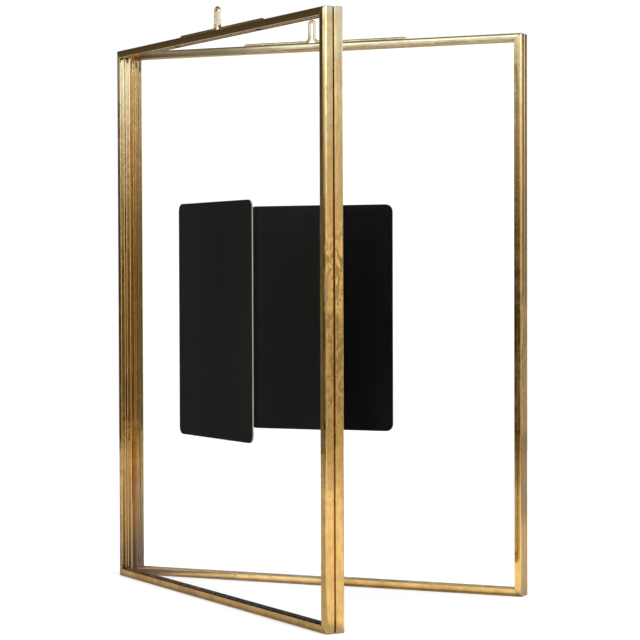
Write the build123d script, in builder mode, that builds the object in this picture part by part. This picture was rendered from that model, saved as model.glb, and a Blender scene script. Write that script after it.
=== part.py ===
from build123d import *
import math
import os

# Hinged double photo frame: two floating-glass leaves of thin brass channel.
# Lengths in millimetres, +Z up. The rear leaf stands along +X with its outer face
# towards +Y; the front leaf is folded towards -Y about the spine at -X.
# The origin is on the shelf, under the middle of the rear leaf's inner half-frame.

os.makedirs("parts", exist_ok=True)

# Leaf
leaf_width = 158.0
leaf_height = 205.0
half_depth = 3.55
slit_width = 0.5
rest_opening = 36.0

# Brass channel
sheet = 0.5
lip = 0.45
flange_width = 2.8
outer_round = 0.8
slit_round = 0.25
tip_round = 0.15

# Glass
glass_thick = 2.5
pane_side_gap = 0.3
pane_foot_gap = 0.05
pane_head_gap = 0.3
pane_arris = 0.2

# Display card and the foam pads that hold it against one pane
card_width = 56.0
card_height = 85.0
card_thick = 0.5
card_corner = 2.8
card_drop = 1.1
card_face_gap = 0.05
rear_card_shift = 0.0
front_card_shift = 0.8
pad_radius = 4.0
pad_inset = 7.0

# Hinges
knuckle_radius = 1.0
pin_radius = 0.5
pin_clearance = 0.05
plate_thick = 0.5
knuckle_gap = 0.15
knuckle_swing_gap = 0.25
pin_head_radius = 0.85
pin_head_thick = 0.4
pin_head_gap = 0.1
closed_gap = 0.3
leaf_hinge_length = 24.0
door_hinge_length = 16.0
leaf_hinge_height_shares = (0.195, 0.805)
door_hinge_height_shares = (0.34, 0.66)
middle_knuckle_share = 0.36
plate_edge_margin = 0.3

# Wire hangers, bent by hand, so the two leaves' differ a little
wire_radius = 0.55
wire_clearance = 0.05
loop_rise = 8.5
end_bend = 0.9
flare_bend = 1.9
loop_round_share = 0.49
end_drop = 2.0
slot_drop = 3.1
rear_loop_from_spine = 76.5
rear_leg_spacing = 2.1
rear_spine_side_reach = 28.0
rear_free_side_reach = 35.3
rear_arm_lift = 0.05
front_loop_from_spine = 77.2
front_leg_spacing = 2.7
front_spine_side_reach = 28.8
front_free_side_reach = 33.8
front_arm_lift = 0.25

# Overrun of the cutting shapes
overrun = 0.3

leaf_depth = 2 * half_depth + slit_width
slit_middle = leaf_depth / 2
channel_depth = half_depth - sheet - lip
pane_face_gap = (channel_depth - glass_thick) / 2
inner_pane_back = sheet + pane_face_gap + glass_thick
door_pane_back = leaf_depth - inner_pane_back
pad_thick = door_pane_back - inner_pane_back - card_thick - card_face_gap


def rear_leaf_plane():
    """Rear leaf: x from the spine to the free edge, z up, y out of its outer face."""
    return Plane(
        origin=(-leaf_width / 2, -half_depth / 2, 0),
        x_dir=(1, 0, 0),
        z_dir=(0, 0, 1),
    )


def front_leaf_plane():
    """Front leaf, opened by the rest angle about the spine's hinge line."""
    turn = math.radians(rest_opening)
    along = Vector(math.cos(turn), -math.sin(turn), 0)
    outward = Vector(-math.sin(turn), -math.cos(turn), 0)
    hinge_line = Vector(
        -leaf_width / 2 - knuckle_radius,
        -half_depth / 2 - closed_gap / 2,
        0,
    )
    corner = hinge_line + along * knuckle_radius + outward * (closed_gap / 2)
    return Plane(origin=corner, x_dir=along, z_dir=(0, 0, 1))


class HangerShape:
    """Where a wire stands along its top rail, and how its loop and arms are bent."""

    def __init__(self, loop_middle, leg_spacing, spine_reach, free_reach, arm_lift):
        self.spine_leg = loop_middle - leg_spacing / 2
        self.free_leg = loop_middle + leg_spacing / 2
        self.spine_end = loop_middle - spine_reach
        self.free_end = loop_middle + free_reach
        self.arm_height = leaf_height + wire_radius + arm_lift
        self.loop_round = loop_round_share * leg_spacing


class Leaf:
    """One leaf: its plane, which way its outer face looks there, and its hanger."""

    def __init__(self, name, plane, side, hanger):
        self.name = name
        self.plane = plane
        self.side = side
        self.hanger = hanger
        self.along = plane.x_dir
        self.outward = plane.y_dir * side

    def point(self, along, depth, height):
        """A point by its way from the spine, depth from the inner face and height."""
        return (
            self.plane.origin
            + self.along * along
            + self.outward * depth
            + Vector(0, 0, height)
        )

    def level(self, height):
        """The leaf's plane raised to a height, for what stands upright."""
        return self.plane.offset(height)

    def facing(self, along, depth, height):
        """A plane parallel to the leaf's faces that looks out of the outer face."""
        return Plane(
            origin=self.point(along, depth, height),
            x_dir=self.along,
            z_dir=self.outward,
        )


rear_wire = HangerShape(
    rear_loop_from_spine,
    rear_leg_spacing,
    rear_spine_side_reach,
    rear_free_side_reach,
    rear_arm_lift,
)
front_wire = HangerShape(
    front_loop_from_spine,
    front_leg_spacing,
    front_spine_side_reach,
    front_free_side_reach,
    front_arm_lift,
)
rear = Leaf("rear", rear_leaf_plane(), 1, rear_wire)
front = Leaf("front", front_leaf_plane(), -1, front_wire)

# Each rail: its middle along and up the leaf, the way into the leaf, and its length
rails = {
    "top_rail": (leaf_width / 2, leaf_height, Vector(0, 0, -1), leaf_width),
    "bottom_rail": (leaf_width / 2, 0, Vector(0, 0, 1), leaf_width),
    "hinge_stile": (0, leaf_height / 2, Vector(1, 0, 0), leaf_height),
    "free_stile": (leaf_width, leaf_height / 2, Vector(-1, 0, 0), leaf_height),
}

# Slots on the slit line of the top rails for the turned-down ends of the wire
slot_radius = wire_radius + wire_clearance
slot_length = end_bend + 2 * slot_radius
slot_span_behind = slit_width + 2 * (lip + overrun)


def channel_rail(leaf, half, rail):
    """A mitred length of channel: flange, edge wall and the lip behind the glass."""
    middle_along, middle_up, inward, length = rails[rail]
    face_depth = 0 if half == "inner" else leaf_depth
    to_slit = leaf.outward if half == "inner" else leaf.outward * -1
    inwards = leaf.along * inward.X + Vector(0, 0, 1) * inward.Z
    section = Plane(
        origin=leaf.point(middle_along, face_depth, middle_up),
        x_dir=to_slit,
        z_dir=to_slit.cross(inwards),
    )
    with BuildPart() as channel:
        with BuildSketch(section) as profile:
            with BuildLine():
                Polyline(
                    (0, 0),
                    (0, flange_width),
                    (sheet, flange_width),
                    (sheet, sheet),
                    (half_depth - lip, sheet),
                    (half_depth - lip, flange_width),
                    (half_depth, flange_width),
                    (half_depth, 0),
                    close=True,
                )
            make_face()
            fillet(profile.vertices().group_by(Axis.Y)[-1], tip_round)
            face_corner = profile.vertices().group_by(Axis.Y)[0].sort_by(Axis.X)[0]
            fillet(face_corner, outer_round)
            slit_corner = profile.vertices().group_by(Axis.Y)[0].sort_by(Axis.X)[-1]
            fillet(slit_corner, slit_round)
        extrude(amount=length / 2, both=True)
        for end in (1, -1):
            mitre = Plane(
                origin=section.origin + section.z_dir * (end * length / 2),
                z_dir=section.y_dir + section.z_dir * end,
            )
            split(bisect_by=mitre, keep=Keep.BOTTOM)
        slot_middles = (leaf.hanger.spine_end + end_bend / 2, leaf.hanger.free_end - end_bend / 2)
        for middle in slot_middles if rail == "top_rail" else ():
            with BuildSketch(leaf.level(leaf_height)):
                with Locations((middle, leaf.side * slit_middle)):
                    SlotOverall(slot_length, 2 * slot_radius)
            extrude(amount=-slot_drop, mode=Mode.SUBTRACT)
            with BuildSketch(leaf.level(leaf_height - sheet)):
                with Locations((middle, leaf.side * slit_middle)):
                    Rectangle(slot_length, slot_span_behind)
            extrude(amount=-slot_drop, mode=Mode.SUBTRACT)
    return channel


def glass_pane(leaf, half):
    """A clear pane that stands in its half-frame's channels."""
    if half == "inner":
        middle_depth = sheet + pane_face_gap + glass_thick / 2
    else:
        middle_depth = leaf_depth - sheet - pane_face_gap - glass_thick / 2
    pane_width = leaf_width - 2 * (sheet + pane_side_gap)
    pane_foot = sheet + pane_foot_gap
    pane_height = leaf_height - pane_foot - pane_head_gap - sheet
    with BuildPart() as pane:
        with BuildSketch(leaf.level(pane_foot)):
            with Locations((leaf_width / 2, leaf.side * middle_depth)):
                Rectangle(pane_width, glass_thick)
        extrude(amount=pane_height)
        chamfer(pane.edges(), pane_arris)
    return pane


card_middle_height = leaf_height / 2 - card_drop


def display_card(leaf, middle_along, near_depth):
    """A stiff card with rounded corners, between the panes."""
    with BuildPart() as card:
        with BuildSketch(leaf.facing(middle_along, near_depth, card_middle_height)):
            RectangleRounded(card_width, card_height, card_corner)
        extrude(amount=card_thick)
    return card


def card_pads(leaf, middle_along, near_depth):
    """Round foam pads, one behind each corner of the card."""
    with BuildPart() as pads:
        with BuildSketch(leaf.facing(middle_along, near_depth, card_middle_height)):
            with GridLocations(card_width - 2 * pad_inset, card_height - 2 * pad_inset, 2, 2):
                Circle(pad_radius)
        extrude(amount=pad_thick)
    return pads


def knuckle_spans(barrel_length, outer):
    """Where the knuckles of one hinge side start and end along the barrel."""
    middle_length = middle_knuckle_share * barrel_length
    middle_start = (barrel_length - middle_length) / 2
    middle_end = middle_start + middle_length
    if not outer:
        return ((middle_start, middle_end),)
    return (
        (0, middle_start - knuckle_gap),
        (middle_end + knuckle_gap, barrel_length),
    )


def hinge_plates(leaf, axis_depth, near_depth, far_depth, height_shares, barrel_length, outer):
    """Plates on the leaf's spine with their knuckles, one set per hinge."""
    strip_width = abs(far_depth - near_depth)
    strip_middle = (far_depth + near_depth) / 2
    bridge_width = abs(near_depth - axis_depth) + strip_width / 2
    bridge_middle = (strip_middle + axis_depth) / 2
    with BuildPart() as plates:
        for share in height_shares:
            foot = share * leaf_height - barrel_length / 2
            with BuildSketch(leaf.level(foot)):
                with Locations((-plate_thick / 2, leaf.side * strip_middle)):
                    Rectangle(plate_thick, strip_width)
            extrude(amount=barrel_length)
            for start, end in knuckle_spans(barrel_length, outer):
                with BuildSketch(leaf.level(foot + start)):
                    with Locations((-plate_thick / 2, leaf.side * bridge_middle)):
                        Rectangle(plate_thick, bridge_width)
                    with Locations((-knuckle_radius, leaf.side * axis_depth)):
                        Circle(knuckle_radius)
                extrude(amount=end - start)
            with BuildSketch(leaf.level(foot - overrun)):
                with Locations((-knuckle_radius, leaf.side * axis_depth)):
                    Circle(pin_radius + pin_clearance)
            extrude(amount=barrel_length + 2 * overrun, mode=Mode.SUBTRACT)
    return plates


def hinge_pins(leaf, axis_depth, height_shares, barrel_length):
    """Headed pins through the knuckles, one per hinge."""
    shank_length = barrel_length + 2 * (pin_head_gap + pin_head_thick)
    with BuildPart() as pins:
        for share in height_shares:
            foot = share * leaf_height - shank_length / 2
            with BuildSketch(leaf.level(foot)):
                with Locations((-knuckle_radius, leaf.side * axis_depth)):
                    Circle(pin_radius)
            extrude(amount=shank_length)
            for head_foot in (foot, foot + shank_length - pin_head_thick):
                with BuildSketch(leaf.level(head_foot)):
                    with Locations((-knuckle_radius, leaf.side * axis_depth)):
                        Circle(pin_head_radius)
                extrude(amount=pin_head_thick)
    return pins


def wire_hanger(leaf):
    """Bent wire: ends turned down in the slots, arms on the rail, loop in the middle."""
    wire = leaf.hanger
    upright = Plane(
        origin=leaf.point(0, slit_middle, 0),
        x_dir=leaf.along,
        z_dir=leaf.along.cross(Vector(0, 0, 1)),
    )
    tip = leaf_height - end_drop
    loop_top = leaf_height + loop_rise
    loop_bends = (wire.loop_round, wire.loop_round)
    with BuildPart() as hanger:
        with BuildLine(upright) as path:
            FilletPolyline(
                (wire.spine_end, tip),
                (wire.spine_end, wire.arm_height),
                (wire.spine_leg, wire.arm_height),
                (wire.spine_leg, loop_top),
                (wire.free_leg, loop_top),
                (wire.free_leg, wire.arm_height),
                (wire.free_end, wire.arm_height),
                (wire.free_end, tip),
                radius=(end_bend, flare_bend, *loop_bends, flare_bend, end_bend),
            )
        with BuildSketch(Plane(origin=path.line @ 0, z_dir=path.line % 0)):
            Circle(wire_radius)
        sweep(path=path.line)
    return hanger


def keep(name, built):
    """Label a finished piece and write it."""
    built.part.label = name
    export_step(built.part, f"parts/{name}.step")


# Half-frames and panes
for leaf in (rear, front):
    for half in ("inner", "door"):
        for rail in rails:
            keep(f"{leaf.name}_{half}_{rail}", channel_rail(leaf, half, rail))
        keep(f"{leaf.name}_{half}_pane", glass_pane(leaf, half))

# Cards and their pads: the rear card's on the door pane, the front card's on the inner pane
rear_card_middle = leaf_width / 2 - rear_card_shift
rear_card_near = inner_pane_back + card_face_gap
keep("rear_card", display_card(rear, rear_card_middle, rear_card_near))
keep("rear_card_pads", card_pads(rear, rear_card_middle, rear_card_near + card_thick))
front_card_middle = leaf_width / 2 - front_card_shift
keep("front_card_pads", card_pads(front, front_card_middle, inner_pane_back))
keep("front_card", display_card(front, front_card_middle, inner_pane_back + pad_thick))

# Leaf hinge on the spine, its axis midway between the closed leaves
leaf_axis_depth = -closed_gap / 2
leaf_plate_near = leaf_axis_depth + knuckle_radius + knuckle_swing_gap
leaf_plate_far = half_depth - plate_edge_margin
for leaf in (rear, front):
    leaf_plates = hinge_plates(
        leaf,
        leaf_axis_depth,
        leaf_plate_near,
        leaf_plate_far,
        leaf_hinge_height_shares,
        leaf_hinge_length,
        leaf is rear,
    )
    keep(f"leaf_hinge_{leaf.name}_plates", leaf_plates)
keep(
    "leaf_hinge_pins",
    hinge_pins(rear, leaf_axis_depth, leaf_hinge_height_shares, leaf_hinge_length),
)

# Door hinges on each leaf's spine, their axis on the slit line
door_plate_start = knuckle_radius + knuckle_swing_gap
for leaf in (rear, front):
    frame_plates = hinge_plates(
        leaf,
        slit_middle,
        slit_middle - door_plate_start,
        outer_round + plate_edge_margin,
        door_hinge_height_shares,
        door_hinge_length,
        True,
    )
    keep(f"{leaf.name}_door_hinge_frame_plates", frame_plates)
    door_plates = hinge_plates(
        leaf,
        slit_middle,
        slit_middle + door_plate_start,
        leaf_depth - outer_round - plate_edge_margin,
        door_hinge_height_shares,
        door_hinge_length,
        False,
    )
    keep(f"{leaf.name}_door_hinge_door_plates", door_plates)
    keep(
        f"{leaf.name}_door_hinge_pins",
        hinge_pins(leaf, slit_middle, door_hinge_height_shares, door_hinge_length),
    )

# Wire hangers
keep("rear_hanger", wire_hanger(rear))
keep("front_hanger", wire_hanger(front))
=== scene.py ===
import math

import bpy
from mathutils import Matrix, Vector

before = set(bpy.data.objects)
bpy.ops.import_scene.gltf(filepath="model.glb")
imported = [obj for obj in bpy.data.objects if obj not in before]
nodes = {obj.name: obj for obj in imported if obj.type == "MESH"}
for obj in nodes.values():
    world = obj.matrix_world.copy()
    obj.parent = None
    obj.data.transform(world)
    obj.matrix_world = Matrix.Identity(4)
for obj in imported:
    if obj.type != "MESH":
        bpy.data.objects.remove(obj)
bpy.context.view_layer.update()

# The frame's measures, in millimetres, used to find each spot on it
MM = 0.001
UPWARD = Vector((0, 0, 1))
RIGHTWARD = Vector((1, 0, 0))
ORIGIN = Vector((0, 0, 0))
LEAF_WIDTH = 158.0
LEAF_HEIGHT = 205.0
LEAF_DEPTH = 7.6
REST_OPENING = math.radians(36.0)
REAR_CORNER = Vector((-79.0, -1.775, 0.0))
HINGE_LINE = Vector((-80.0, -1.925, 0.0))
KNUCKLE_RADIUS = 1.0
HALF_LEAF_GAP = 0.15
SLIT_TO_WALL_MIDDLE = 2.05
FLANGE_MIDDLE = 1.4
CARD_THICK = 0.5
CARD_DEPTHS = {"rear": 3.1, "front": 4.0}

# What differs between the two leaves' brass and glass
RAIL_PATINA = {"rear": 0.20, "front": 0.75}
RAIL_INNER_LEAN = {"rear": 0.13, "front": 0.0}
BROWN_BANDS = {"rear": (24.0, 64.0), "front": None}
GROUND_EDGES = {
    "rear": ((0.36, 0.25, 0.13, 1), (0.52, 0.38, 0.21, 1)),
    "front": ((0.055, 0.036, 0.018, 1), (0.10, 0.068, 0.035, 1)),
}


class LeafSpace:
    """Where a leaf stands: its spine corner, and the ways along it and out of it."""

    def __init__(self, corner, along, outward):
        self.corner = corner
        self.along = along
        self.outward = outward


rear_space = LeafSpace(REAR_CORNER, RIGHTWARD, Vector((0, 1, 0)))
front_along = Vector((math.cos(REST_OPENING), -math.sin(REST_OPENING), 0))
front_outward = Vector((-math.sin(REST_OPENING), -math.cos(REST_OPENING), 0))
front_space = LeafSpace(
    HINGE_LINE + front_along * KNUCKLE_RADIUS + front_outward * HALF_LEAF_GAP,
    front_along,
    front_outward,
)


class Mask:
    """A node's result that varies over a surface. Python's own arithmetic adds Math nodes."""

    def __init__(self, finish, socket):
        self.finish = finish
        self.socket = socket

    def __add__(self, other):
        return self.finish.maths("ADD", self, other)

    __radd__ = __add__

    def __sub__(self, other):
        return self.finish.maths("SUBTRACT", self, other)

    def __rsub__(self, other):
        return self.finish.maths("SUBTRACT", other, self)

    def __mul__(self, other):
        return self.finish.maths("MULTIPLY", self, other)

    __rmul__ = __mul__

    def __abs__(self):
        return self.finish.maths("ABSOLUTE", self)

    def least(self, other):
        return self.finish.maths("MINIMUM", self, other)

    def most(self, other):
        return self.finish.maths("MAXIMUM", self, other)

    def sign(self):
        return self.finish.maths("SIGN", self)

    def clear(self):
        """Held between nought and one."""
        return self.finish.maths("ADD", self, 0.0, clamp=True)

    def rise(self, low, high):
        """A smooth step from nought at low to one at high."""
        return self.finish.node(
            "ShaderNodeMapRange",
            {"interpolation_type": "SMOOTHSTEP"},
            {"Value": self, "From Min": low, "From Max": high},
        )


class Finish:
    """One material's nodes."""

    def __init__(self, name):
        self.material = bpy.data.materials.new(name)
        self.material.use_nodes = True
        self.tree = self.material.node_tree
        self.tree.nodes.clear()

    def node(self, kind, settings=None, inputs=None, output=0):
        """Adds a node: its settings first, then its sockets' values or links."""
        made = self.tree.nodes.new(kind)
        for key, value in (settings or {}).items():
            setattr(made, key, value)
        for key, value in (inputs or {}).items():
            socket = made.inputs[key]
            if isinstance(value, Mask):
                self.tree.links.new(value.socket, socket)
            else:
                socket.default_value = value
        return Mask(self, made.outputs[output]) if made.outputs else None

    def maths(self, operation, *values, clamp=False):
        return self.node(
            "ShaderNodeMath",
            {"operation": operation, "use_clamp": clamp},
            dict(enumerate(values)),
        )

    def place(self):
        """The spot on the piece, in its own space, so that it moves with the piece."""
        return self.node("ShaderNodeTexCoord", output="Object")

    def along(self, spot, direction, start=ORIGIN):
        """How far a spot lies along a direction from a start, in millimetres."""
        reach = self.node(
            "ShaderNodeVectorMath",
            {"operation": "DOT_PRODUCT"},
            {0: spot, 1: tuple(direction / MM)},
            output="Value",
        )
        return reach - direction.dot(start)

    def stretched(self, spot, scale):
        """The spot times a scale for each axis, for patterns longer one way than another."""
        return self.node(
            "ShaderNodeVectorMath", {"operation": "MULTIPLY"}, {0: spot, 1: scale}
        )

    def noise(self, spot, scale, detail, roughness, distortion=0.0):
        return self.node(
            "ShaderNodeTexNoise",
            {},
            {
                "Vector": spot,
                "Scale": scale,
                "Detail": detail,
                "Roughness": roughness,
                "Distortion": distortion,
            },
        )

    def specks(self, spot, scale):
        return self.node("ShaderNodeTexVoronoi", {}, {"Vector": spot, "Scale": scale})

    def blend(self, share, first, second):
        """One colour over another by a share."""
        return self.node(
            "ShaderNodeMix",
            {"data_type": "RGBA"},
            {0: share, 6: first, 7: second},
            output=2,
        )

    def surface(self, shader):
        self.node("ShaderNodeOutputMaterial", {}, {"Surface": shader})
        return self.material

    def bump(self, height, strength, reach, facing=None):
        sockets = {"Height": height, "Strength": strength, "Distance": reach}
        if facing:
            sockets["Normal"] = facing
        return self.node("ShaderNodeBump", {}, sockets)

    def leaning(self, *leans):
        """The surface's own direction, leaning a little to each side given with its amount."""
        facing = self.node("ShaderNodeNewGeometry", output="Normal")
        for direction, amount in leans:
            lean = self.node(
                "ShaderNodeVectorMath",
                {"operation": "SCALE"},
                {0: tuple(direction), "Scale": amount},
            )
            facing = self.node("ShaderNodeVectorMath", {"operation": "ADD"}, {0: facing, 1: lean})
        return self.node("ShaderNodeVectorMath", {"operation": "NORMALIZE"}, {0: facing})

    def coat(self, values):
        """The material, made of one shader with these values."""
        return self.surface(self.principled(values))

    def principled(self, values):
        return self.node("ShaderNodeBsdfPrincipled", {}, values)


# Brass colours, some of them for painted light and shade
BRASS = (0.88, 0.54, 0.165, 1)
PALE_BRASS = (0.93, 0.68, 0.31, 1)
ORANGE_BRASS = (0.80, 0.43, 0.11, 1)
DULL_BRASS = (0.50, 0.30, 0.11, 1)
DARK_PATINA_AND_SHADE = (0.12, 0.065, 0.025, 1)
INSIDE_BROWN = (0.20, 0.095, 0.025, 1)
INSIDE_PALE = (0.97, 0.82, 0.51, 1)
INSIDE_GOLD = (0.96, 0.71, 0.34, 1)
MOTTLED_BRASS = (0.34, 0.20, 0.06, 1)
INSIDE_LOW_SHADE = (0.74, 0.50, 0.20, 1)
INSIDE_SHADE_BROWN = (0.31, 0.145, 0.012, 1)
SPINE_SHADE_UMBER = (0.20, 0.125, 0.04, 1)
SOLDER_GREY = (0.74, 0.62, 0.44, 1)
WIRE_DULL = (0.66, 0.46, 0.20, 1)

# Where each part of a channel begins and is full, in millimetres: from the leaf's rim,
WALL_FADE = (0.1, 0.7)
INSIDE_RIM_FADE = (0.3, 0.5)
LEANING_RIM_FADE = (0.3, 0.45)
BENT_RIM_FADE = (0.9, 1.5)
FLANGE_END_FADE = (2.62, 2.76)
# from the nearer face,
FLANGE_FADE = (0.05, 0.3)
INSIDE_FACE_FADE = (0.25, 0.42)
# from the rim and the face together,
CORNER_HIGHLIGHT_FADE = (0.35, 0.95)
ROUNDING_FADE = (0.8, 1.2)
# from the middle of the depth,
SLIT_FADE = (0.3, 0.62)
LEANING_SLIT_FADE = (0.5, 0.65)
BENT_SIDE_FADE = (0.0, 0.5)
# from the face that looks at the other leaf,
FACING_FADE = (0.1, 0.3)
# and from the mitre
SEAM_FADE = (0.04, 0.16)
JOINT_FADE = (0.5, 3.0)

# Where the brass changes with height, and along the top rails, in millimetres; some of these
# place painted light and shade
FOOT_FADE = (0.3, 2.2)
LOW_END_FADE = (1.0, 24.0)
HANDLED_FROM = (50.0, 80.0)
HANDLED_TO = (120.0, 140.0)
UPPER_LIGHT_FADE = (110.0, 208.0)
TOP_RAIL_FADE = (200.0, 202.0)
SPINE_END_FADE = (35.0, 78.0)
BAND_FADE = 8.0
BAND_FLANGE_FADE = (12.0, 20.0)

# How far walls and flanges bow out of flat: the lean of their surface a millimetre off the middle
WALL_BOW = 0.02
STILE_BOW = 0.045
RAIL_BOW = 0.018


def frame_brass(
    name,
    leaf,
    upright,
    lean=0.0,
    inner_lean=0.0,
    pale=0.0,
    inside_patina_and_light=0.0,
    inside_tone=INSIDE_BROWN,
    inside_shade=0.0,
    brown_band=None,
):
    """Aged, hand-polished brass channel of one leaf, brushed along its length.

    Lean tips the flange on the leaf's outer side towards the spine or away from it, and inner
    lean tips the channel's inside towards the pane. Pale is how much painted light makes it
    paler higher up, the patina share how much the inside has the inside's tone (brown patina in
    the rails, painted light in the hinge stiles), inside shade how much painted shade darkens the
    inside and the flange ends, and the brown band runs between two heights.
    """
    finish = Finish(name)
    spot = finish.place()
    across = finish.along(spot, leaf.along, leaf.corner)
    depth = finish.along(spot, leaf.outward, leaf.corner)
    height = finish.along(spot, UPWARD)
    side_gap = across.least(LEAF_WIDTH - across)
    end_gap = height.least(LEAF_HEIGHT - height)
    slit_gap = abs(depth - LEAF_DEPTH / 2)
    face_gap = LEAF_DEPTH / 2 - slit_gap
    mitre_gap = abs(side_gap - end_gap)

    # Where on the channel: edge wall, flange, rounded corner, slit, mitre
    rim_gap = side_gap if upright else end_gap
    edge_wall = 1 - rim_gap.rise(*WALL_FADE)
    flange = (1 - face_gap.rise(*FLANGE_FADE)) * (1 - edge_wall)
    corner = (1 - (rim_gap + face_gap).rise(*CORNER_HIGHLIGHT_FADE)) * edge_wall
    rounding = 1 - (rim_gap + face_gap).rise(*ROUNDING_FADE)
    slit_edge = 1 - slit_gap.rise(*SLIT_FADE)
    seam = 1 - mitre_gap.rise(*SEAM_FADE)
    near_joint = 1 - mitre_gap.rise(*JOINT_FADE)
    facing_side = 1 - depth.rise(*FACING_FADE)
    upper = height.rise(*UPPER_LIGHT_FADE)

    # Mottling, streaks along the rail and small dark specks
    clouds = finish.noise(spot, 70.0, detail=5.0, roughness=0.6)
    blotches = finish.noise(spot, 260.0, detail=4.0, roughness=0.6, distortion=0.4)
    run = (2200.0, 2200.0, 55.0) if upright else (55.0, 55.0, 2200.0)
    streaks = finish.noise(finish.stretched(spot, run), 1.0, detail=3.0, roughness=0.55)
    pits = 1 - finish.specks(spot, 900.0).rise(0.0, 0.12)
    grains = finish.noise(spot, 1700.0, detail=2.0, roughness=0.5)
    dents = finish.noise(spot, 120.0, detail=2.0, roughness=0.5)
    stain = (blotches * 0.6 + clouds * 0.6).rise(0.50, 0.78)
    wear_run = (600.0, 600.0, 240.0) if upright else (240.0, 240.0, 600.0)
    wear = finish.stretched(spot, wear_run)
    wear = finish.noise(wear, 1.0, detail=6.0, roughness=0.65, distortion=0.6).rise(0.45, 0.58)
    handled = height.rise(*HANDLED_FROM) * (1 - height.rise(*HANDLED_TO))
    wear = wear * edge_wall * (0.25 + handled * 0.75)

    tone = finish.blend(clouds.rise(0.38, 0.66) * 0.5, BRASS, ORANGE_BRASS)
    tone = finish.blend(streaks.rise(0.44, 0.66) * 0.45, tone, PALE_BRASS)
    tone = finish.blend((stain * (0.25 + flange * 0.45)).clear(), tone, DULL_BRASS)
    tone = finish.blend((wear * 0.85).clear(), tone, MOTTLED_BRASS)
    # Painted highlight along the rounded corners, and painted light that makes it paler higher up
    tone = finish.blend((corner * 0.3 + upper * pale).clear(), tone, PALE_BRASS)
    tone = finish.blend((near_joint * edge_wall * 0.4).clear(), tone, SOLDER_GREY)
    tone = finish.blend((slit_edge * 0.5).clear(), tone, ORANGE_BRASS)
    tone = finish.blend((pits * 0.5).clear(), tone, DARK_PATINA_AND_SHADE)
    tone = finish.blend((seam * 0.8).clear(), tone, DARK_PATINA_AND_SHADE)

    # Brown patina inside the rails; painted light and shade inside the hinge stiles and near the
    # foot
    if inside_patina_and_light:
        interior = rim_gap.rise(*INSIDE_RIM_FADE) * face_gap.rise(*INSIDE_FACE_FADE)
        hidden = interior
        if upright:
            hidden = interior.most(flange * facing_side)
            # Painted light: paler higher up inside the hinge stiles, darker lower down
            inside_tone = finish.blend(upper, INSIDE_LOW_SHADE, inside_tone)
        tone = finish.blend((hidden * inside_patina_and_light).clear(), tone, inside_tone)
        # Painted shade inside the rear hinge stile and on its flange ends
        if inside_shade:
            shaded = interior.most(rim_gap.rise(*FLANGE_END_FADE)) * inside_shade
            tone = finish.blend(shaded.clear(), tone, INSIDE_SHADE_BROWN)
    # Painted shade: the flanges darken at the very foot
    foot = 1 - height.rise(*FOOT_FADE)
    tone = finish.blend((foot * flange * 0.55).clear(), tone, DARK_PATINA_AND_SHADE)
    # Painted shade: the hinge stiles darken close to the foot
    if upright and inside_patina_and_light:
        low_end = 1 - height.rise(*LOW_END_FADE)
        tone = finish.blend((low_end * 0.5).clear(), tone, DARK_PATINA_AND_SHADE)

    # A browner stretch that starts lower on the edge wall than on the flange
    if brown_band:
        bottom, top = brown_band
        band = height.rise(bottom, bottom + BAND_FADE) * (1 - height.rise(top - BAND_FADE, top))
        on_flange = (height - bottom).rise(*BAND_FLANGE_FADE)
        band = band * (edge_wall + flange * on_flange)
        tone = finish.blend((band * (0.45 + streaks * 0.5)).clear(), tone, MOTTLED_BRASS)

    dull = 0.03 + clouds * 0.06 + stain * 0.10 + pits * 0.12 + seam * 0.2 + wear * 0.12

    # Painted shade: brown near the spine where the top rails face each other
    if not upright:
        facing_pair = facing_side * height.rise(*TOP_RAIL_FADE)
        facing_pair = facing_pair * (1 - across.rise(*SPINE_END_FADE))
        tone = finish.blend((facing_pair * (0.74 + streaks * 0.3)).clear(), tone, SPINE_SHADE_UMBER)
        dull = dull + facing_pair * 0.25

    relief = dents * (1 - rounding * 0.85) * 0.45 + streaks * 0.07 + grains * 0.03
    relief = relief - pits * 0.2 - seam * 0.5

    # Drawn channel isn't quite flat: its walls and flanges bow out a little
    middle_reach = depth - LEAF_DEPTH / 2
    wall_lean = (slit_gap - SLIT_TO_WALL_MIDDLE) * middle_reach.sign()
    rim_reach = across - LEAF_WIDTH / 2 if upright else height - LEAF_HEIGHT / 2
    flange_lean = (FLANGE_MIDDLE - rim_gap) * rim_reach.sign() * flange
    rim_side = leaf.along if upright else UPWARD
    leans = [(leaf.outward, wall_lean * edge_wall * WALL_BOW)]
    if lean:
        bent_part = flange * rim_gap.rise(*BENT_RIM_FADE) * middle_reach.rise(*BENT_SIDE_FADE)
        flange_lean = flange_lean * (1 - bent_part)
        leans.append((rim_side, bent_part * lean))
    leans.append((rim_side, flange_lean * (STILE_BOW if upright else RAIL_BOW)))
    if inner_lean:
        inside = slit_gap.rise(*LEANING_SLIT_FADE) * face_gap.rise(*INSIDE_FACE_FADE)
        inside = inside * rim_gap.rise(*LEANING_RIM_FADE)
        if not upright:
            inside = inside * rim_reach.sign() * -1
        leans.append((rim_side, inside * inner_lean))
    facing = finish.leaning(*leans)
    return finish.coat(
        {
            "Base Color": tone,
            "Metallic": 1.0,
            "Roughness": dull.clear(),
            "Normal": finish.bump(relief, 0.3, 0.0004, facing),
        }
    )


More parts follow.
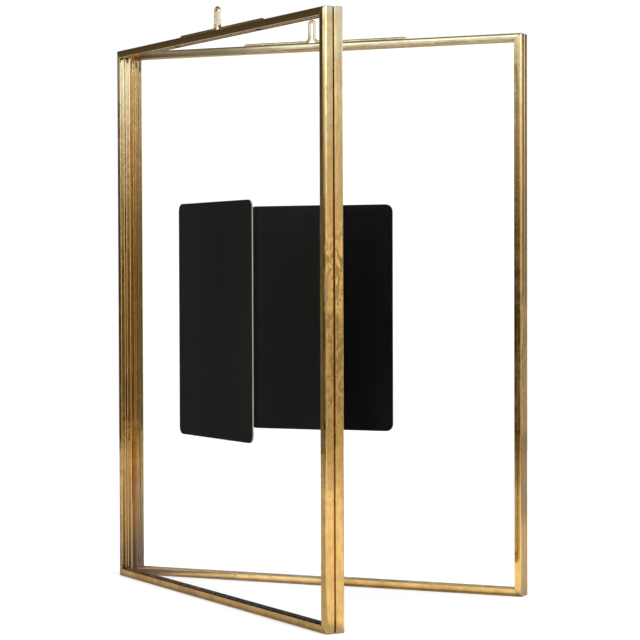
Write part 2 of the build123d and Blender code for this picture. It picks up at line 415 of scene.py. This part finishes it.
def small_brass(name, bright, dull_tone, roughness):
    """Brass of the small fittings, with dull spots and fine draw lines."""
    finish = Finish(name)
    spot = finish.place()
    clouds = finish.noise(spot, 420.0, detail=4.0, roughness=0.6)
    grains = finish.noise(spot, 2600.0, detail=2.0, roughness=0.5)
    pits = 1 - finish.specks(spot, 1300.0).rise(0.0, 0.15)
    tone = finish.blend(clouds.rise(0.38, 0.62), bright, dull_tone)
    tone = finish.blend((pits * 0.5).clear(), tone, DARK_PATINA_AND_SHADE)
    relief = clouds * 0.4 + grains * 0.12 - pits * 0.3
    return finish.coat(
        {
            "Base Color": tone,
            "Metallic": 1.0,
            "Roughness": (clouds * 0.14 + roughness + pits * 0.15).clear(),
            "Normal": finish.bump(relief, 0.3, 0.0002),
        }
    )


GLASS_IOR = 1.5
GLASS_TINT = (0.997, 0.999, 0.998, 1)
GLASS_SHADE = (0.96, 0.98, 0.97, 1)
# How much of plain glass's glare is left, and how far the ground edge reaches from its rails' rim
GLARE_LEFT = 0.25
GROUND_FADE = (0.98, 1.02)


def clear_glass(name, ground_dark, ground_light):
    """Picture glass with little glare: it bends what is behind it and mirrors faintly."""
    finish = Finish(name)
    spot = finish.place()
    height = finish.along(spot, UPWARD)
    cut_edge = 1 - height.least(LEAF_HEIGHT - height).rise(*GROUND_FADE)
    waves = finish.noise(spot, 9.0, detail=1.0, roughness=0.4)
    smears = finish.noise(spot, 38.0, detail=5.0, roughness=0.6)
    bending = finish.node(
        "ShaderNodeBsdfRefraction", {}, {"Color": GLASS_TINT, "Roughness": 0.0, "IOR": GLASS_IOR}
    )
    # Light that brass has already mirrored goes straight through
    straight = finish.node("ShaderNodeBsdfTransparent", {}, {"Color": GLASS_TINT})
    in_brass = finish.node("ShaderNodeLightPath", output="Glossy Depth").clear()
    clear = finish.node("ShaderNodeMixShader", {}, {0: in_brass, 1: bending, 2: straight})
    glare = finish.node(
        "ShaderNodeBsdfGlossy",
        {},
        {
            "Color": GLASS_TINT,
            "Roughness": (smears.rise(0.55, 0.8) * 0.05).clear(),
            "Normal": finish.bump(waves, 0.02, 0.0005),
        },
    )
    edge_on = finish.node("ShaderNodeFresnel", {}, {"IOR": GLASS_IOR})
    mirroring = (edge_on * GLARE_LEFT).most(edge_on.rise(0.95, 0.999)) * (1 - in_brass)
    pane = finish.node("ShaderNodeMixShader", {}, {0: mirroring, 1: clear, 2: glare})
    # The cut ends in the rails are ground and dusty
    ground = finish.principled(
        {
            "Base Color": finish.blend(smears, ground_dark, ground_light),
            "Roughness": 1.0,
            "Specular IOR Level": 0.0,
        }
    )
    pane = finish.node("ShaderNodeMixShader", {}, {0: cut_edge, 1: pane, 2: ground})
    shade = finish.node("ShaderNodeBsdfTransparent", {}, {"Color": GLASS_SHADE})
    shadow_ray = finish.node("ShaderNodeLightPath", output="Is Shadow Ray")
    return finish.surface(
        finish.node("ShaderNodeMixShader", {}, {0: shadow_ray, 1: pane, 2: shade})
    )


CARD_DARK = (0.0035, 0.0028, 0.0020, 1)
CARD_SHEEN = (0.0080, 0.0063, 0.0045, 1)
CARD_FIBRE = (0.014, 0.012, 0.010, 1)
CARD_CORE = (0.55, 0.50, 0.42, 1)


def black_card(name, leaf, near_depth):
    """Black board: matt face with a soft vertical sheen painted into its colour, pale core on its
    cut edge.
    """
    finish = Finish(name)
    spot = finish.place()
    depth = finish.along(spot, leaf.outward, leaf.corner)
    core = abs(depth - (near_depth + CARD_THICK / 2))
    core = 1 - core.rise(CARD_THICK * 0.40, CARD_THICK * 0.47)
    fibres = finish.stretched(spot, (1500.0, 1500.0, 300.0))
    fibres = finish.noise(fibres, 1.0, detail=4.0, roughness=0.6)
    # Painted sheen: faint lighter vertical streaks in the colour
    sheen = finish.stretched(spot, (36.0, 36.0, 5.0))
    sheen = finish.noise(sheen, 1.0, detail=2.0, roughness=0.5)
    tone = finish.blend(sheen.rise(0.3, 0.7), CARD_DARK, CARD_SHEEN)
    tone = finish.blend((fibres.rise(0.55, 0.8) * 0.3).clear(), tone, CARD_FIBRE)
    tone = finish.blend((core * 0.9).clear(), tone, CARD_CORE)
    return finish.coat(
        {
            "Base Color": tone,
            "Roughness": (0.42 + fibres * 0.2).clear(),
            "Specular IOR Level": 0.07,
            "Normal": finish.bump(fibres, 0.04, 0.00003),
        }
    )


FOAM_DARK = (0.006, 0.006, 0.006, 1)
FOAM_LIGHT = (0.03, 0.03, 0.03, 1)


def foam_pads():
    """Dark foam behind the cards, with fine open cells."""
    finish = Finish("dark foam")
    spot = finish.place()
    cells = finish.specks(spot, 2400.0).rise(0.05, 0.35)
    return finish.coat(
        {
            "Base Color": finish.blend(cells, FOAM_DARK, FOAM_LIGHT),
            "Roughness": (0.95 - cells * 0.1).clear(),
            "Specular IOR Level": 0.2,
            "Normal": finish.bump(cells, 0.3, 0.0001),
        }
    )


leaf_finishes = {}
for leaf_name, space in (("rear", rear_space), ("front", front_space)):
    leaf_finishes[leaf_name, "stile"] = frame_brass(
        f"{leaf_name} stile brass", space, upright=True, brown_band=BROWN_BANDS[leaf_name]
    )
    leaf_finishes[leaf_name, "rail"] = frame_brass(
        f"{leaf_name} rail brass",
        space,
        upright=False,
        inner_lean=RAIL_INNER_LEAN[leaf_name],
        pale=0.5,
        inside_patina_and_light=RAIL_PATINA[leaf_name],
    )
    leaf_finishes[leaf_name, "pane"] = clear_glass(
        f"{leaf_name} picture glass", *GROUND_EDGES[leaf_name]
    )
    card_name = f"{leaf_name} black card"
    leaf_finishes[leaf_name, "card"] = black_card(card_name, space, CARD_DEPTHS[leaf_name])
bent_stile = frame_brass(
    "front hinge stile brass",
    front_space,
    upright=True,
    lean=-0.27,
    pale=0.7,
    inside_patina_and_light=0.85,
    inside_tone=INSIDE_PALE,
)
shaded_stile = frame_brass(
    "rear hinge stile brass",
    rear_space,
    upright=True,
    inner_lean=0.6,
    pale=0.2,
    inside_patina_and_light=0.7,
    inside_tone=INSIDE_GOLD,
    inside_shade=0.66,
)
hinge_brass = small_brass("hinge brass", BRASS, DULL_BRASS, 0.26)
wire_brass = small_brass("wire brass", PALE_BRASS, WIRE_DULL, 0.14)
foam = foam_pads()


def finish_for(name):
    """The material of a piece, by the kind of part that its name ends with."""
    leaf_name = "front" if name.startswith("front") else "rear"
    if name.endswith("pane"):
        return leaf_finishes[leaf_name, "pane"]
    if name.endswith("pads"):
        return foam
    if name.endswith("card"):
        return leaf_finishes[leaf_name, "card"]
    if name.endswith("hanger"):
        return wire_brass
    if name.endswith("plates") or name.endswith("pins"):
        return hinge_brass
    if name.endswith("hinge_stile"):
        return bent_stile if leaf_name == "front" else shaded_stile
    return leaf_finishes[leaf_name, name.rsplit("_", 1)[1]]


for name, piece in nodes.items():
    piece.data.materials.clear()
    piece.data.materials.append(finish_for(name))


# Studio: pale floor with soft light above it, in a room that only mirror reflections see as dark
FLOOR_REACH = 0.6
FLOOR_GREY = (0.93, 0.93, 0.93, 1)
FLOOR_PALE = (0.95, 0.95, 0.95, 1)
BLACK = (0.0, 0.0, 0.0, 1)
WHITE = (1, 1, 1, 1)
# Where the floor's painted light and shade change round the leaves, in millimetres, as brass
# mirrors it
LEAF_SIDE_FADE = (-12.0, 0.0)
BESIDE_FADE = (70.0, 110.0)
SPINE_SIDE_FADE = (-70.0, 20.0)
OUTSIDE_SHADE = 0.45
BETWEEN_GLOW = 0.10
SPINE_GLOW = 0.55
# What the floor gives off to rays from the camera, and through glass, so that it shows white
SEEN_LIFT = 0.20
GLASS_LIFT = 0.34


def straight_through(finish):
    """One for rays that come straight to the camera through glass, not by a reflection."""
    passed = finish.node("ShaderNodeLightPath", output="Is Transmission Ray")
    mirrored = finish.node("ShaderNodeLightPath", output="Glossy Depth")
    scattered = finish.node("ShaderNodeLightPath", output="Diffuse Depth")
    return passed * (1 - (mirrored + scattered).clear())


def studio_floor():
    """Pale floor that goes to white where nothing shades it. Brass mirrors it with painted
    light, brightest between the leaves, and painted shade, darkest close to their outer sides."""
    finish = Finish("pale studio floor")
    spot = finish.place()
    fine = finish.noise(spot, 60.0, detail=2.0, roughness=0.5)
    behind = finish.along(spot, rear_space.outward, rear_space.corner).rise(*LEAF_SIDE_FADE)
    before = finish.along(spot, front_space.outward, front_space.corner).rise(*LEAF_SIDE_FADE)
    rightward = finish.along(spot, RIGHTWARD)
    beside = rightward.rise(*BESIDE_FADE) * (1 - behind)
    between = (1 - behind) * (1 - before) * (1 - beside)
    spine_side = 1 - rightward.rise(*SPINE_SIDE_FADE)

    scattered = finish.node("ShaderNodeLightPath", output="Diffuse Depth").clear()
    in_brass = finish.node("ShaderNodeLightPath", output="Glossy Depth").clear()
    in_brass = in_brass * (1 - scattered)
    # Painted shade outside the leaves and painted light between them, seen only in brass's
    # reflections
    shade = (1 - beside) * (1 - between) * in_brass * OUTSIDE_SHADE
    seen = finish.node("ShaderNodeLightPath", output="Is Camera Ray")
    glow = between * in_brass * (spine_side * SPINE_GLOW + BETWEEN_GLOW)
    lift = seen * SEEN_LIFT + straight_through(finish) * GLASS_LIFT + glow
    return finish.coat(
        {
            "Base Color": finish.blend(
                shade.clear(), finish.blend(fine, FLOOR_GREY, FLOOR_PALE), BLACK
            ),
            "Roughness": 1.0,
            "Specular IOR Level": 0.0,
            "Emission Color": finish.blend(lift.clear(), BLACK, WHITE),
            "Emission Strength": 1.0,
        }
    )


def stage_square(name, reach, material):
    """A flat square on the ground that isn't part of the object."""
    mesh = bpy.data.meshes.new(name)
    corners = [(-reach, -reach, 0), (reach, -reach, 0), (reach, reach, 0), (-reach, reach, 0)]
    mesh.from_pydata(corners, [], [(0, 1, 2, 3)])
    mesh.materials.append(material)
    made = bpy.data.objects.new(name, mesh)
    bpy.context.scene.collection.objects.link(made)


def soft_lamp(name, place, target, side, watts):
    """A square lamp that faces its target."""
    lamp = bpy.data.lights.new(name, "AREA")
    lamp.shape = "SQUARE"
    lamp.size = side
    lamp.energy = watts
    made = bpy.data.objects.new(name, lamp)
    bpy.context.scene.collection.objects.link(made)
    made.location = place
    look = Vector(target) - Vector(place)
    made.rotation_euler = look.to_track_quat("-Z", "Y").to_euler()


stage_square("studio floor", FLOOR_REACH, studio_floor())
soft_lamp("right soft lamp", (1.7, -1.1, 1.5), target=(0, 0, 0.1), side=1.0, watts=14.0)


class Surround(Finish):
    """The world's nodes, worked as a material's are."""

    def __init__(self, name):
        self.world = bpy.data.worlds.new(name)
        self.world.use_nodes = True
        self.tree = self.world.node_tree
        self.tree.nodes.clear()

    def toward(self, direction, begins, full):
        """How far the ray looks towards one side of the studio, by its angle's cosine."""
        way = self.node("ShaderNodeTexCoord", output="Generated")
        turned = self.node(
            "ShaderNodeVectorMath",
            {"operation": "DOT_PRODUCT"},
            {0: way, 1: tuple(direction)},
            output="Value",
        )
        return turned.rise(begins, full)


# The room's light areas as mirrors see them: the way each lies, where it begins and is full, its
# level low down, and what it gains higher up
LIGHT_AREAS = {
    "left": ((-0.99, 0.13, 0), 0.90, 0.97, 0.13, -0.13),
    "right": ((0.996, -0.094, 0), 0.78, 0.96, 0.46, 0.50),
    "front right": ((0.72, -0.69, 0), 0.74, 0.95, 0.14, 0.30),
    "front": ((0.47, -0.88, 0), 0.955, 0.985, 0.0, 0.90),
    "window": ((0.60, 0.80, 0), 0.970, 0.988, 0.35, 2.60),
    "beside window": ((0.81, 0.59, 0), 0.91, 0.97, 0.0, 0.40),
    "viewer": ((-0.39, -0.92, 0), 0.50, 0.90, 0.02, 0.62),
    "backdrop": ((-0.53, 0.85, 0), 0.90, 0.96, 0.26, 0.80),
    "back": ((0.31, 0.95, 0), 0.60, 0.90, 0.18, 0.0),
}
RIGHT_LAMP_SIDE = (0.927, -0.375, 0)
RIGHT_LAMP_FROM = (0.965, 0.985)
# How high a ray looks where each layer of the room begins and is full
TABLE_END = (-0.11, -0.088)
LOW_WALL_END = (-0.02, -0.005)
SILL_FROM = (-0.022, -0.004)
SILL_TO = (0.020, 0.028)
HIGH_FROM = (0.0, 0.13)
SOFTBOX_FROM = (0.098, 0.125)
OVERHEAD_FROM = (0.45, 0.70)
# Levels of the dark room, of its layers, and of what stands out in them
DARK_LEVEL = 0.02
HIGH_LEVEL = 0.05
TABLE_LEVEL = 0.9
LOW_WALL_LEVEL = 0.22
SILL_LEVEL = 0.42
RIGHT_LAMP_LEVEL = 2.2
SOFTBOX_LEVEL = 1.1
OVERHEAD_LEVEL = 0.25
# The even white studio that plain surfaces and rays through glass see
SOFT_LEVEL = 0.95
THROUGH_GLASS = 1.22
LOW_LIGHT = (1.0, 0.96, 0.87, 1)
HIGH_LIGHT = (0.72, 1.0, 1.75, 1)

surround = Surround("white studio")
table = 1 - surround.toward(UPWARD, *TABLE_END)
low_wall = 1 - surround.toward(UPWARD, *LOW_WALL_END)
sill = surround.toward(UPWARD, *SILL_FROM) * (1 - surround.toward(UPWARD, *SILL_TO))
high = surround.toward(UPWARD, *HIGH_FROM)
softbox = surround.toward(UPWARD, *SOFTBOX_FROM)
overhead = surround.toward(UPWARD, *OVERHEAD_FROM)
right_lamp = surround.toward(RIGHT_LAMP_SIDE, *RIGHT_LAMP_FROM)
areas = {}
glows = {}
for side, (direction, begins, full, low_level, gain) in LIGHT_AREAS.items():
    areas[side] = surround.toward(direction, begins, full)
    glows[side] = areas[side] * (low_level + high * gain)

room = DARK_LEVEL + high * HIGH_LEVEL
for side in ("left", "right", "front right", "front", "window", "beside window", "viewer"):
    room = room + glows[side]
room = room + areas["right"] * sill * SILL_LEVEL
room = room + right_lamp * high * high * RIGHT_LAMP_LEVEL
room = room + areas["viewer"] * softbox * SOFTBOX_LEVEL
back_glow = glows["backdrop"] + glows["back"] + areas["back"] * low_wall * LOW_WALL_LEVEL
room = room + back_glow * (1 - softbox)
room = room * (1 - overhead) + overhead * OVERHEAD_LEVEL
mirrored = room * (1 - table) + table * TABLE_LEVEL

direct = surround.node("ShaderNodeLightPath", output="Is Camera Ray")
scattered = surround.node("ShaderNodeLightPath", output="Diffuse Depth").clear()
through = straight_through(surround)
plain = (direct + scattered + through).clear()
level = mirrored * (1 - plain) + direct + scattered * SOFT_LEVEL + through * THROUGH_GLASS
lit = areas["right"] + areas["window"] + areas["beside window"]
lit = (lit + areas["viewer"] + areas["backdrop"]).clear()
light = surround.blend(high * lit, LOW_LIGHT, HIGH_LIGHT)
light = surround.blend(plain, light, WHITE)
studio = surround.node("ShaderNodeBackground", {}, {"Color": light, "Strength": level})
surround.node("ShaderNodeOutputWorld", {}, {"Surface": studio})
bpy.context.scene.world = surround.world

# Camera at the photograph's place
CAMERA_PLACE = (0.309971, -0.720230, 0.117533)
CAMERA_TURN = math.radians(23.3812)
CAMERA_TILT = math.radians(90 - 1.2466)
CAMERA_ROLL = math.radians(-0.1840)
camera_data = bpy.data.cameras.new("camera")
camera_data.lens = 116.40
camera_data.sensor_width = 36.0
camera_data.clip_start = 0.01
camera_data.clip_end = 100.0
camera = bpy.data.objects.new("camera", camera_data)
bpy.context.scene.collection.objects.link(camera)
camera.matrix_world = (
    Matrix.Translation(CAMERA_PLACE)
    @ Matrix.Rotation(CAMERA_TURN, 4, "Z")
    @ Matrix.Rotation(CAMERA_TILT, 4, "X")
    @ Matrix.Rotation(CAMERA_ROLL, 4, "Z")
)
bpy.context.scene.camera = camera
bpy.context.scene.view_settings.view_transform = "Standard"
